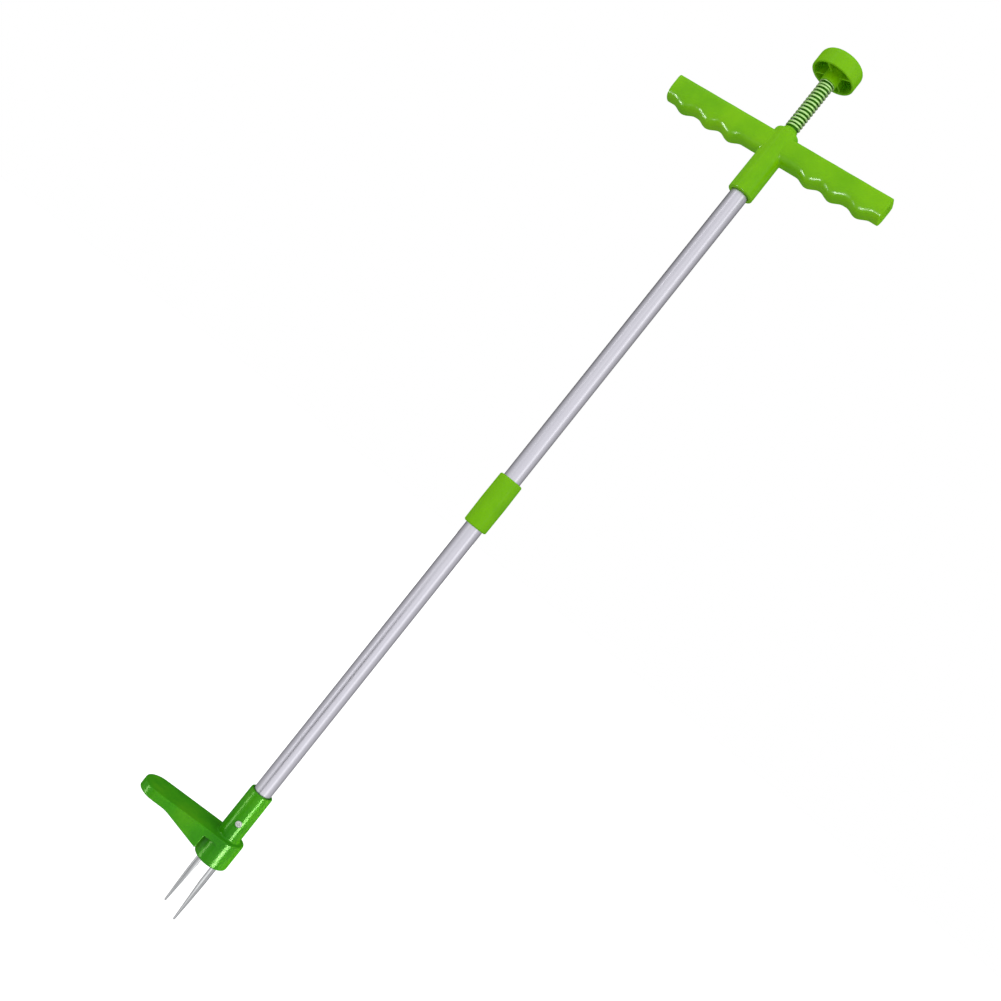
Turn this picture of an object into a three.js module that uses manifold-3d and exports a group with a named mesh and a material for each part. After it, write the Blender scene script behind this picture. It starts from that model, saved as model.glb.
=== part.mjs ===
// Stand up weeder: a step-in weeding tool with a T-handle and a push-to-eject plunger.
// Millimetres, +Z up. The origin is on the shaft's axis, level with the tips of the tines.
// The foot pedal points to -X, and the handle bar is turned about the shaft.

import * as THREE from 'three';
import { mergeVertices } from 'three/addons/utils/BufferGeometryUtils.js';
import Module from 'manifold-3d';

const wasm = await Module();
wasm.setup();

// ---- driving dimensions ----

const GAP = 0.3; // between pieces that touch
const ROD = { radius: 2.5, bore: 2.8, thread: 2.0 };
const TUBE = { outer: 9, inner: 8 };

const TINE = { root: 6.6, tip: 1.7, thick: 2, orbit: 12.6, bow: 6.5, taperTop: 43 };
const TINE_AZIMUTH = THREE.MathUtils.degToRad(-52);
const TINE_TAB = { inner: 5.4, width: 6.6, screwAt: 8.4 };

const COLLAR = { outer: 17.5, inner: 14.4, bottom: 59.5, ceiling: 79, top: 86.4, edge: 1.5 };
const SOCKET = { outer: 11.6, floor: 91, top: 136 };
const PEDAL = { tip: -91.5, half: 17.5, lip: 77.3, heel: 66, plate: 3.5, wall: 2.6, rib: 2.4 };
const NOTCH = { left: -18.2, top: 79.6 };
const FOOT_SCREW_Z = 104.5;

const COUPLER = { outer: 12.4, bottom: 445, top: 499.5, rib: 8.7 };
const JOINT_Z = 472; // where the two tubes meet, inside the coupler

const GRIP = { half: 116.5, top: 896.5, underside: 872.5, bump: 4, depth: 10.3, bore: 6.6 };
const BUMPS = [43, 68.3, 96.5];
const BUMP_REACH = 12.6;
const HANDLE_YAW = THREE.MathUtils.degToRad(-23.7);
const HUB = { outer: 12.95, neck: 12.4, bushing: 7.1, bottom: 831.5, tubeStop: 868.5, top: 902.4 };
const HUB_ROUND = 3.2;
const HANDLE_SCREW_Z = 850;

const SPRING = { seat: 906.2, top: 958.3, radius: 6.25, wire: 1.1, turns: 14, closed: 1 };
const GUIDE = { radius: 4.8, bore: 5.1 }; // the sleeve on the push rod, inside the spring
const KNOB = { outer: 22.35, rim: 966.7, top: 984.5, round: 5.5, wall: 2.4 };
const KNOB_POST = { radius: 8, root: 10.8, bottom: 959.5, webs: 4 };
const CLIP_RADIUS = 6.2;
const ROD_TOP = 975;
const ROD_JOINT_Z = 558;

const EJECTOR = { outer: 13.6, bottom: 64.5, thick: 2.5, slot: 0.6 };
const PLATE_NUT = { flats: 7, bottom: 60.7, height: 3.5 };

// ---- materials ----

function material(color, roughness, metalness) {
  return new THREE.MeshStandardMaterial({ color, roughness, metalness });
}

const LIME = material(0x70be0c, 0.4, 0);
const HEAD_GREEN = material(0x3c960a, 0.3, 0);
const ALUMINIUM = material(0xc8c8d2, 0.35, 1);
const STEEL = material(0xb4b6b8, 0.25, 1);
const SPRING_STEEL = material(0x9aa09a, 0.3, 1);
const BRASS = material(0xb9944a, 0.35, 1);
const NYLON = material(0x26282a, 0.5, 0);

// ---- solids ----

// Solid of revolution about Z. The [radius, z] points go up the outside and down the inside.
function turned(profile, sides = 32) {
  const points = profile.map(([radius, z]) => new THREE.Vector2(radius, z));
  const onAxis = points[0].x === 0 && points[points.length - 1].x === 0;
  if (!onAxis) {
    points.push(points[0].clone());
  }
  return new THREE.LatheGeometry(points, sides).rotateX(Math.PI / 2);
}

function rod(radius, bottom, top, sides = 16) {
  return turned([[0, bottom], [radius, bottom], [radius, top], [0, top]], sides);
}

function sleeve(outer, inner, bottom, top, sides = 32) {
  return turned([[inner, bottom], [outer, bottom], [outer, top], [inner, top]], sides);
}

// Quarter-round on an outer upper edge, from the side in to the top.
function roundedEdge(radius, top, fillet, steps = 4) {
  return Array.from({ length: steps + 1 }, (_, i) => {
    const angle = (i / steps) * (Math.PI / 2);
    return [radius - fillet * (1 - Math.cos(angle)), top - fillet * (1 - Math.sin(angle))];
  });
}

function toSolid(geometry) {
  const bare = geometry.clone();
  bare.deleteAttribute('normal');
  bare.deleteAttribute('uv');
  const merged = mergeVertices(bare, 1e-4);
  const corners = merged.index.array;
  const triVerts = [];
  for (let i = 0; i < corners.length; i += 3) {
    const [a, b, c] = corners.slice(i, i + 3);
    if (a !== b && b !== c && c !== a) {
      triVerts.push(a, b, c);
    }
  }
  return new wasm.Manifold(new wasm.Mesh({
    numProp: 3,
    vertProperties: Float32Array.from(merged.attributes.position.array),
    triVerts: Uint32Array.from(triVerts),
  }));
}

function toGeometry(solid) {
  const { vertProperties, triVerts } = solid.getMesh();
  const geometry = new THREE.BufferGeometry();
  geometry.setAttribute('position', new THREE.BufferAttribute(vertProperties, 3));
  geometry.setIndex(new THREE.BufferAttribute(triVerts, 1));
  geometry.computeVertexNormals();
  return geometry;
}

function cut(geometry, tools) {
  const solid = tools.reduce((whole, tool) => whole.subtract(toSolid(tool)), toSolid(geometry));
  return toGeometry(solid);
}

function join(...geometries) {
  const solid = geometries.map(toSolid).reduce((whole, extra) => whole.add(extra));
  return toGeometry(solid);
}

function common(first, second) {
  return toGeometry(toSolid(first).intersect(toSolid(second)));
}

// Rod from the shaft's axis outwards along a side, for holes and shanks.
function radialRod(radius, from, to, height, azimuth, sides = 12) {
  const geometry = new THREE.CylinderGeometry(radius, radius, to - from, sides);
  geometry.rotateZ(-Math.PI / 2).translate((from + to) / 2, 0, 0);
  return geometry.rotateZ(azimuth).translate(0, 0, height);
}

// Closed skin through outlines with equal point counts. place() puts a point of outline k
// in space, with the outline's u, its v and the direction of k making a right-handed set.
function loft(outlines, place) {
  const count = outlines[0].length;
  const positions = outlines.flatMap((outline, k) => outline.flatMap((p) => place(p, k)));
  const index = [];
  for (let k = 0; k + 1 < outlines.length; k += 1) {
    for (let i = 0; i < count; i += 1) {
      const a = k * count + i;
      const b = k * count + ((i + 1) % count);
      index.push(a, b, b + count);
      index.push(a, b + count, a + count);
    }
  }
  const last = (outlines.length - 1) * count;
  for (const [a, b, c] of THREE.ShapeUtils.triangulateShape(outlines[0], [])) {
    index.push(c, b, a);
  }
  for (const [a, b, c] of THREE.ShapeUtils.triangulateShape(outlines[outlines.length - 1], [])) {
    index.push(last + a, last + b, last + c);
  }
  const geometry = new THREE.BufferGeometry();
  geometry.setAttribute('position', new THREE.Float32BufferAttribute(positions, 3));
  geometry.setIndex(index);
  return geometry;
}

function hexNut(flats, bore, bottom, top) {
  const corner = flats / Math.sqrt(3);
  return cut(rod(corner, bottom, top, 6), [rod(bore, bottom - 1, top + 1)]);
}

// ---- foot ----

// The pedal seen from the side: level under its tip, then deeper towards the collar.
function pedalProfile() {
  const side = new THREE.Shape();
  side.moveTo(0, COLLAR.top);
  side.lineTo(PEDAL.tip - 1, COLLAR.top);
  side.lineTo(PEDAL.tip - 1, PEDAL.lip);
  side.lineTo(-66, PEDAL.lip);
  side.quadraticCurveTo(-60, PEDAL.lip, -54, PEDAL.lip - 1.9);
  side.lineTo(NOTCH.left, PEDAL.heel);
  side.lineTo(NOTCH.left, NOTCH.top);
  side.lineTo(0, NOTCH.top);
  side.closePath();
  return side;
}

function pedalOutline(inset) {
  const half = PEDAL.half - inset;
  const centre = PEDAL.tip + PEDAL.half;
  const plan = new THREE.Shape();
  plan.moveTo(0, -half);
  plan.lineTo(0, half);
  plan.lineTo(centre, half);
  plan.absarc(centre, 0, half, Math.PI / 2, (3 * Math.PI) / 2, false);
  plan.closePath();
  return plan;
}

function upright(shape, bottom, top, curveSegments = 10) {
  const options = { depth: top - bottom, bevelEnabled: false, curveSegments };
  return new THREE.ExtrudeGeometry(shape, options).translate(0, 0, bottom);
}

function pedalShell() {
  const across = { depth: 2 * PEDAL.half + 2, bevelEnabled: false, curveSegments: 4 };
  const side = new THREE.ExtrudeGeometry(pedalProfile(), across).rotateX(Math.PI / 2);
  side.translate(0, PEDAL.half + 1, 0);
  const outer = common(side, upright(pedalOutline(0), COLLAR.bottom, COLLAR.top));
  const ceiling = COLLAR.top - PEDAL.plate;
  const pocket = upright(pedalOutline(PEDAL.wall), COLLAR.bottom - 1, ceiling);
  const rib = new THREE.BoxGeometry(-PEDAL.tip, PEDAL.rib, 40);
  rib.translate(PEDAL.tip / 2, 0, ceiling - 12);
  return cut(outer, [cut(pocket, [rib])]);
}

function footHead() {
  const shaftBody = turned([
    [0, COLLAR.bottom], [COLLAR.outer - COLLAR.edge, COLLAR.bottom],
    [COLLAR.outer - 0.3 * COLLAR.edge, COLLAR.bottom + 0.3 * COLLAR.edge],
    [COLLAR.outer, COLLAR.bottom + COLLAR.edge], [COLLAR.outer, COLLAR.top],
    [SOCKET.outer + 1, COLLAR.top], [SOCKET.outer, COLLAR.top + 2],
    [SOCKET.outer, SOCKET.top], [0, SOCKET.top],
  ], 40);
  return cut(join(shaftBody, pedalShell()), [
    rod(COLLAR.inner, COLLAR.bottom - 1, COLLAR.ceiling, 32),
    rod(TUBE.outer + GAP, SOCKET.floor, SOCKET.top + 1, 32),
    rod(4.8, COLLAR.ceiling - 1, SOCKET.floor + 1),
    radialRod(1.8, 5, 20, FOOT_SCREW_Z, -Math.PI / 2),
    ...[TINE_AZIMUTH, TINE_AZIMUTH + Math.PI].map((azimuth) => tineScrewHole(azimuth)),
  ]);
}

function tineScrewHole(azimuth) {
  const hole = rod(1.8, COLLAR.ceiling - 1, COLLAR.ceiling + 7, 12);
  return hole.translate(TINE_TAB.screwAt, 0, 0).rotateZ(azimuth);
}

function footBush() {
  const flange = SOCKET.floor + GAP;
  return turned([
    [ROD.bore, COLLAR.ceiling], [4.5, COLLAR.ceiling], [4.5, flange], [7, flange],
    [7, flange + 1.8], [ROD.bore, flange + 1.8],
  ], 20);
}

// ---- tines ----

// Bowed cross-section of a tine: u points out from the shaft and v along the width.
function gougeOutline(width, thick) {
  const steps = 3;
  const outer = [];
  const inner = [];
  for (let i = -steps; i <= steps; i += 1) {
    const v = (i / steps) * (width / 2);
    const sag = (v * v) / (2 * TINE.bow);
    outer.push(new THREE.Vector2(thick / 2 - sag, v));
    inner.unshift(new THREE.Vector2(-thick / 2 - sag, v));
  }
  return [...outer, ...inner];
}

function tineBlade() {
  const top = COLLAR.ceiling - GAP;
  const heights = [0, 6, 15, 24, 33, TINE.taperTop, COLLAR.bottom, top];
  const outlines = heights.map((z) => {
    const share = Math.min(z / TINE.taperTop, 1);
    const width = TINE.tip + (TINE.root - TINE.tip) * share;
    return gougeOutline(width, TINE.tip + (TINE.thick - TINE.tip) * Math.min(2 * share, 1));
  });
  return loft(outlines, (p, k) => [TINE.orbit + p.x, p.y, heights[k]]);
}

function tine() {
  const reach = TINE.orbit - TINE_TAB.inner;
  const tab = new THREE.BoxGeometry(reach, TINE_TAB.width, TINE.thick);
  tab.translate(TINE_TAB.inner + reach / 2, 0, COLLAR.ceiling - GAP - TINE.thick / 2);
  const hole = rod(1.8, COLLAR.ceiling - 5, COLLAR.ceiling + 1, 12);
  return cut(join(tineBlade(), tab), [hole.translate(TINE_TAB.screwAt, 0, 0)]);
}

function tineScrew() {
  const seat = COLLAR.ceiling - 2 * GAP - TINE.thick;
  const profile = [[0, seat - 1.8], [2, seat - 1.8], [2.7, seat - 0.9], [2.7, seat]];
  profile.push([1.45, seat], [1.45, COLLAR.ceiling + 6], [0, COLLAR.ceiling + 6]);
  return turned(profile, 14).translate(TINE_TAB.screwAt, 0, 0);
}

// ---- shaft ----

function shaftTube(bottom, top, screwHeight, screwAzimuth) {
  const wall = sleeve(TUBE.outer, TUBE.inner, bottom, top, 32);
  return cut(wall, [radialRod(1.8, 5, 12, screwHeight, screwAzimuth)]);
}

function panScrew(reach, height, azimuth) {
  const profile = [[0, reach + 2.2], [2.2, reach + 1.8], [3.25, reach + 0.6], [3.25, reach]];
  profile.push([1.5, reach], [1.5, 7], [0, 7]);
  const screw = turned(profile.reverse(), 16).rotateY(Math.PI / 2);
  return screw.rotateZ(azimuth).translate(0, 0, height);
}

function middleCoupler() {
  const { outer, bottom, top, rib } = COUPLER;
  const bore = TUBE.outer + GAP;
  return turned([
    [bore, bottom], [outer - 1.2, bottom], [outer, bottom + 1.5], [outer, top - 1.5],
    [outer - 1.2, top], [bore, top], [bore, JOINT_Z + 1], [rib, JOINT_Z + 1],
    [rib, JOINT_Z - 1], [bore, JOINT_Z - 1],
  ]);
}

function lowerJointInsert() {
  const body = TUBE.inner - GAP;
  const shoulder = JOINT_Z - 1.5;
  return turned([
    [ROD.bore + 0.3, shoulder - 26], [body, shoulder - 26], [body, shoulder], [6, shoulder],
    [6, shoulder + 17], [ROD.bore + 0.3, shoulder + 17],
  ], 24);
}

function upperJointInsert() {
  const body = TUBE.inner - GAP;
  const mouth = JOINT_Z + 1.5;
  return turned([
    [6.3, mouth], [body, mouth], [body, mouth + 26], [ROD.bore + 0.3, mouth + 26],
    [ROD.bore + 0.3, mouth + 16], [6.3, mouth + 16],
  ], 24);
}

// ---- handle ----

// How far the grip's underside hangs below its grooves at a distance from the shaft.
function scallop(distance) {
  const drops = BUMPS.map((at) => {
    const away = Math.abs(Math.abs(distance) - at) / BUMP_REACH;
    return away < 1 ? GRIP.bump * 0.5 * (1 + Math.cos(Math.PI * away)) : 0;
  });
  return Math.max(...drops);
}

// Squared oval section of the grip, with a flat along its underside.
function gripOutline(drop) {
  const bottom = GRIP.underside - drop;
  const middle = (GRIP.top + bottom) / 2;
  const half = (GRIP.top - bottom) / 2;
  const corners = 20;
  const square = 6;
  const oval = Array.from({ length: corners }, (_, i) => {
    const angle = ((i + 0.5) / corners) * 2 * Math.PI;
    const [u, v] = [Math.cos(angle), Math.sin(angle)];
    const stretch = (Math.abs(u) ** square + Math.abs(v) ** square) ** (-1 / square);
    return new THREE.Vector2(u * stretch, v * stretch);
  });
  const peak = Math.max(...oval.map((p) => p.y));
  return oval.map((p) => new THREE.Vector2(GRIP.depth * p.x, middle + (half * p.y) / peak));
}

function gripBar() {
  const side = [32];
  for (let s = 37; s < GRIP.half; s += 6) {
    side.push(s);
  }
  side.push(GRIP.half);
  const stations = [...side.map((s) => -s).reverse(), ...side];
  const outlines = stations.map((s) => gripOutline(scallop(s)));
  return loft(outlines, (p, k) => [stations[k], p.x, p.y]);
}

function hubBody() {
  return turned([
    [0, HUB.bottom], [HUB.outer, HUB.bottom],
    ...roundedEdge(HUB.neck, HUB.top, HUB_ROUND), [0, HUB.top],
  ], 32);
}

function handleBody() {
  const boreZ = (GRIP.top + GRIP.underside) / 2;
  return cut(join(gripBar(), hubBody()), [
    rod(TUBE.outer + GAP, HUB.bottom - 1, HUB.tubeStop, 32),
    rod(HUB.bushing + GAP, HUB.tubeStop - 1, HUB.top + 1, 32),
    radialRod(GRIP.bore, 30, GRIP.half + 1, boreZ, 0, 20),
    radialRod(GRIP.bore, 30, GRIP.half + 1, boreZ, Math.PI, 20),
    radialRod(1.8, 5, 20, HANDLE_SCREW_Z, Math.PI / 2 - HANDLE_YAW),
  ]);
}

function endPlug(azimuth) {
  const boreZ = (GRIP.top + GRIP.underside) / 2;
  return radialRod(GRIP.bore - GAP, GRIP.half - 8, GRIP.half, boreZ, azimuth, 20);
}

function hubBush() {
  return sleeve(HUB.bushing, GUIDE.bore, HUB.tubeStop - 2, SPRING.seat, 32);
}

// ---- plunger ----

class Coil extends THREE.Curve {
  getPoint(t) {
    const { seat, top, radius, wire, turns, closed } = SPRING;
    const clear = GAP + wire;
    const endPitch = 2 * wire + 0.1;
    const rise = closed * endPitch;
    const openPitch = (top - seat - 2 * clear - 2 * rise) / (turns - 2 * closed);
    const turn = t * turns;
    const open = Math.min(Math.max(turn - closed, 0), turns - 2 * closed);
    const height = (turn - open) * endPitch + open * openPitch;
    const angle = turn * 2 * Math.PI;
    return new THREE.Vector3(
      radius * Math.cos(angle), radius * Math.sin(angle), seat + clear + height);
  }
}

function returnSpring() {
  const section = new THREE.Shape();
  section.absarc(0, 0, SPRING.wire, 0, 2 * Math.PI, false);
  const steps = Math.round(SPRING.turns * 12);
  const options = { steps, curveSegments: 3, bevelEnabled: false, extrudePath: new Coil() };
  return new THREE.ExtrudeGeometry(section, options);
}

function pushKnob() {
  const { outer, rim, top, round, wall } = KNOB;
  const { radius, root, bottom, webs } = KNOB_POST;
  const ceiling = top - 3;
  const cup = turned([
    [outer - wall, rim], [outer, rim], ...roundedEdge(outer, top, round), [0, top],
    [0, ceiling], [outer - round, ceiling], [outer - wall, ceiling - round + wall],
  ], 40);
  const post = turned([
    [0, bottom], [radius, bottom], [radius, rim + 3], [root, ceiling + 1], [0, ceiling + 1],
  ], 24);
  const ribs = Array.from({ length: webs }, (_, i) => {
    const rib = new THREE.BoxGeometry(outer - wall / 2 - radius / 2, 2, ceiling - rim - 3);
    rib.translate((outer - wall / 2 + radius / 2) / 2, 0, (ceiling + rim) / 2 + 0.5);
    return rib.rotateZ(((i + 0.5) / webs) * 2 * Math.PI);
  });
  return cut(join(cup, post, ...ribs), [rod(4.8, bottom - 1, ROD_TOP + 1)]);
}

function ejectorPlate() {
  const { outer, bottom, thick, slot } = EJECTOR;
  const slots = [0, Math.PI].map((turn) => {
    const box = new THREE.BoxGeometry(6, TINE.root + 2 * slot, thick + 2);
    box.translate(TINE.orbit - TINE.thick / 2 - 0.5 - slot + 3, 0, bottom + thick / 2);
    return box.rotateZ(TINE_AZIMUTH + turn);
  });
  const disc = sleeve(outer, ROD.thread + GAP, bottom, bottom + thick, 32);
  return cut(disc, slots);
}

function lowerRod() {
  const shoulder = EJECTOR.bottom + EJECTOR.thick + GAP;
  return turned([
    [0, PLATE_NUT.bottom], [ROD.thread, PLATE_NUT.bottom], [ROD.thread, shoulder],
    [ROD.radius, shoulder], [ROD.radius, ROD_JOINT_Z - 1], [0, ROD_JOINT_Z - 1],
  ], 16);
}

// ---- assembly ----

function named(name, geometry, finish) {
  const mesh = new THREE.Mesh(geometry, finish);
  mesh.name = name;
  return mesh;
}

function footGroup() {
  const group = new THREE.Group();
  group.add(named('foot_head', footHead(), HEAD_GREEN));
  group.add(named('foot_bush', footBush(), NYLON));
  group.add(named('foot_screw', panScrew(SOCKET.outer + GAP, FOOT_SCREW_Z, -Math.PI / 2), STEEL));
  [['near', 0], ['far', Math.PI]].forEach(([side, turn]) => {
    const pair = new THREE.Group();
    pair.add(named(`tine_${side}`, tine(), STEEL));
    pair.add(named(`tine_screw_${side}`, tineScrew(), STEEL));
    pair.rotation.z = TINE_AZIMUTH + turn;
    group.add(pair);
  });
  return group;
}

function shaftGroup() {
  const group = new THREE.Group();
  const lower = shaftTube(SOCKET.floor + GAP, JOINT_Z - 1 - GAP, FOOT_SCREW_Z, -Math.PI / 2);
  const upper = shaftTube(JOINT_Z + 1 + GAP, HUB.tubeStop - GAP, HANDLE_SCREW_Z, Math.PI / 2);
  group.add(named('lower_tube', lower, ALUMINIUM));
  group.add(named('upper_tube', upper, ALUMINIUM));
  group.add(named('middle_coupler', middleCoupler(), LIME));
  group.add(named('lower_joint_insert', lowerJointInsert(), NYLON));
  group.add(named('upper_joint_insert', upperJointInsert(), NYLON));
  return group;
}

function handleGroup() {
  const group = new THREE.Group();
  const bar = new THREE.Group();
  bar.add(named('handle_body', handleBody(), LIME));
  bar.add(named('handle_end_plug_right', endPlug(0), LIME));
  bar.add(named('handle_end_plug_left', endPlug(Math.PI), LIME));
  bar.rotation.z = HANDLE_YAW;
  group.add(bar);
  group.add(named('hub_bush', hubBush(), LIME));
  group.add(named('handle_screw', panScrew(HUB.outer + GAP, HANDLE_SCREW_Z, Math.PI / 2), STEEL));
  return group;
}

function plungerGroup() {
  const group = new THREE.Group();
  const nutTop = PLATE_NUT.bottom + PLATE_NUT.height;
  const clipTop = HUB.tubeStop - 2 - 2 * GAP;
  const joiner = hexNut(10, ROD.bore, ROD_JOINT_Z - 13, ROD_JOINT_Z + 13);
  group.add(named('push_knob', pushKnob(), LIME));
  group.add(named('knob_insert', sleeve(4.5, ROD.bore, KNOB.rim - 5, ROD_TOP, 16), BRASS));
  group.add(named('spring_washer', sleeve(7.8, ROD.bore, SPRING.top, SPRING.top + 0.9, 24), STEEL));
  group.add(named('return_spring', returnSpring(), SPRING_STEEL));
  group.add(named('spring_guide', sleeve(GUIDE.radius, ROD.bore, clipTop + GAP, SPRING.top - GAP, 24),
    LIME));
  group.add(named('push_rod_upper', rod(ROD.radius, ROD_JOINT_Z + 1, ROD_TOP), STEEL));
  group.add(named('rod_joiner', joiner, STEEL));
  group.add(named('push_rod_lower', lowerRod(), STEEL));
  group.add(named('retaining_clip', sleeve(CLIP_RADIUS, ROD.bore, clipTop - 1.2, clipTop, 16), STEEL));
  group.add(named('ejector_plate', ejectorPlate(), STEEL));
  group.add(named('ejector_nut', hexNut(PLATE_NUT.flats, ROD.thread + GAP, PLATE_NUT.bottom + GAP,
    nutTop), STEEL));
  return group;
}

const weeder = new THREE.Group();
weeder.add(footGroup(), shaftGroup(), handleGroup(), plungerGroup());

export default weeder;
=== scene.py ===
import math

import bmesh
import bpy
from mathutils import Matrix, Vector


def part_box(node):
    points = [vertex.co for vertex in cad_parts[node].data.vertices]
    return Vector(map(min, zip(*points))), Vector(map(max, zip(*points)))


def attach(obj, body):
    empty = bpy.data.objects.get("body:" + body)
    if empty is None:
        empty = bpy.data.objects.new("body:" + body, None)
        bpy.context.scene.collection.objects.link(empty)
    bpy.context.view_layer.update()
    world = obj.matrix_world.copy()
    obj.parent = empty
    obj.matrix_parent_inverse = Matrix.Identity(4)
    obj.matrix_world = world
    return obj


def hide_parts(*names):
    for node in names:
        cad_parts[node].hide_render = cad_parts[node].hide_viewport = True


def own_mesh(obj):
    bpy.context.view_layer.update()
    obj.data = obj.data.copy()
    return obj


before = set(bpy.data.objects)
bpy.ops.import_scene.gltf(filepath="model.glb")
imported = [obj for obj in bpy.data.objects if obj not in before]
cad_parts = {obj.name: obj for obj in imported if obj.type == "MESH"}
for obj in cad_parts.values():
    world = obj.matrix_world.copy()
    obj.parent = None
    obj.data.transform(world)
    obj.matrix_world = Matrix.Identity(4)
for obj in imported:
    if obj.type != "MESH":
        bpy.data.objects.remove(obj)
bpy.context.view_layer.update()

MM = 0.001


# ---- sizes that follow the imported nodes, in millimetres ----


def node_box(node):
    low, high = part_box(node)
    return Vector(low) / MM, Vector(high) / MM


def node_radius(node):
    low, high = node_box(node)
    return (high.x - low.x) / 2


def node_middle(node):
    """The height of a node's middle."""
    low, high = node_box(node)
    return (low.z + high.z) / 2


FOOT_LOW, FOOT_HIGH = node_box("foot_head")
KNOB_LOW, KNOB_HIGH = node_box("push_knob")
HANDLE_LOW, HANDLE_HIGH = node_box("handle_body")
COUPLER_LOW, COUPLER_HIGH = node_box("middle_coupler")
SPRING_LOW, SPRING_HIGH = node_box("return_spring")

# How far the bar is turned about the shaft, and where the near tine stands round it.
HANDLE_YAW = math.radians(-23.7)
TINE_AZIMUTH = math.radians(-52)

TUBE_R = node_radius("lower_tube")
TUBE_WALL = 1
TUBE_BORE = TUBE_R + 0.35  # the bores that the tubes are pushed into


# ---- camera ----

# Metres, and millimetres for the lens and the sensor. The azimuth is counted from the front (-Y)
# towards +X.
CAMERA_DISTANCE = 0.982
CAMERA_HEIGHT = 0.4785
CAMERA_AZIMUTH = math.radians(-5)
CAMERA_ROLL = math.radians(38.59)
CAMERA_SIDE_STEP = 0.0036
CAMERA_LENS = 38.84
CAMERA_SENSOR = 36


def make_camera():
    """A level camera in front of the shaft, rolled so that the shaft leans in the picture."""
    data = bpy.data.cameras.new("camera")
    data.lens = CAMERA_LENS
    data.sensor_width = CAMERA_SENSOR
    camera = bpy.data.objects.new("camera", data)
    bpy.context.collection.objects.link(camera)
    away = Vector((math.sin(CAMERA_AZIMUTH), -math.cos(CAMERA_AZIMUTH), 0))
    right = Vector((math.cos(CAMERA_AZIMUTH), math.sin(CAMERA_AZIMUTH), 0))
    place = away * CAMERA_DISTANCE + right * CAMERA_SIDE_STEP
    level = Matrix.Rotation(CAMERA_AZIMUTH, 4, "Z") @ Matrix.Rotation(math.pi / 2, 4, "X")
    camera.matrix_world = (
        Matrix.Translation((place.x, place.y, CAMERA_HEIGHT))
        @ level
        @ Matrix.Rotation(CAMERA_ROLL, 4, "Z")
    )
    bpy.context.scene.camera = camera


# ---- mesh helpers ----

ON_AXIS = 1e-6
SAME_PLACE = 1e-7  # metres


def rounded(corners, steps=8):
    """An open outline through (x, y, fillet radius) corners, with each fillet as an arc."""
    points = []
    for i, (x, y, radius) in enumerate(corners):
        here = Vector((x, y))
        if radius == 0 or i in (0, len(corners) - 1):
            points.append(here)
            continue
        back = (Vector(corners[i - 1][:2]) - here).normalized()
        on = (Vector(corners[i + 1][:2]) - here).normalized()
        half = math.acos(max(-1, min(1, back.dot(on)))) / 2
        reach = radius / math.tan(half)
        start, end = here + back * reach, here + on * reach
        centre = here + (back + on).normalized() * (radius / math.sin(half))
        first, last = start - centre, end - centre
        sweep = first.angle_signed(last)
        for k in range(steps + 1):
            turn = Matrix.Rotation(-sweep * k / steps, 2)
            points.append(centre + turn @ first)
    return points


def circle(radius, sides):
    angles = [2 * math.pi * i / sides for i in range(sides)]
    return [(radius * math.cos(angle), radius * math.sin(angle)) for angle in angles]


def mesh_object(name, verts, faces):
    mesh = bpy.data.meshes.new(name)
    mesh.from_pydata([tuple(c * MM for c in v) for v in verts], [], faces)
    mesh.validate()
    piece = bpy.data.objects.new(name, mesh)
    bpy.context.collection.objects.link(piece)
    fix_normals(piece)
    return piece


def fix_normals(piece):
    """Merges the doubled points and turns every face outwards."""
    work = bmesh.new()
    work.from_mesh(piece.data)
    bmesh.ops.remove_doubles(work, verts=work.verts, dist=SAME_PLACE)
    bmesh.ops.recalc_face_normals(work, faces=work.faces)
    work.to_mesh(piece.data)
    work.free()


def lathe(name, outline, sides=96):
    """A closed solid of revolution about Z.

    The (radius, z) outline closes on itself, or starts and ends on the axis.
    """
    ends_on_axis = max(outline[0][0], outline[-1][0]) < ON_AXIS
    count = len(outline)
    verts = []
    for k in range(sides):
        angle = 2 * math.pi * k / sides
        verts += [(r * math.cos(angle), r * math.sin(angle), z) for r, z in outline]
    faces = []
    for k in range(sides):
        here, there = k * count, ((k + 1) % sides) * count
        for i in range(count - 1 if ends_on_axis else count):
            j = (i + 1) % count
            if outline[i][0] < ON_AXIS and outline[j][0] < ON_AXIS:
                continue
            faces.append([here + i, there + i, there + j, here + j])
    return mesh_object(name, verts, faces)


def loft(name, rings):
    """A closed skin through rings of equally many points, with one face at each end."""
    count = len(rings[0])
    verts = [p for ring in rings for p in ring]
    faces = []
    for k in range(len(rings) - 1):
        here, there = k * count, (k + 1) * count
        for i in range(count):
            j = (i + 1) % count
            faces.append([here + i, here + j, there + j, there + i])
    faces.append(list(range(count)))
    faces.append([(len(rings) - 1) * count + i for i in range(count)])
    return mesh_object(name, verts, faces)


def prism(name, outline, low, high, axis="Z"):
    """An outline (x, y) drawn from low to high along Z, or (x, z) drawn along Y."""
    if axis == "Z":
        return loft(name, [[(x, y, h) for x, y in outline] for h in (low, high)])
    return loft(name, [[(x, h, z) for x, z in outline] for h in (low, high)])


def block(name, low, high):
    outline = [(low[0], low[1]), (high[0], low[1]), (high[0], high[1]), (low[0], high[1])]
    return prism(name, outline, low[2], high[2])


def bore(radius, low, high, sides=96):
    """A plain round tool about Z, for cutting."""
    return lathe("bore", [(0, low), (radius, low), (radius, high), (0, high)], sides)


def ring_piece(name, node, outer, inner, edge=0.2, sides=72):
    """A ring as tall as its node, with its four edges rounded."""
    low, high = (corner.z for corner in node_box(node))
    middle = (low + high) / 2
    outline = rounded([(inner, middle, 0), (inner, low, edge), (outer, low, edge),
                       (outer, high, edge), (inner, high, edge), (inner, middle, 0)])
    return lathe(name, outline[:-1], sides)


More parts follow.
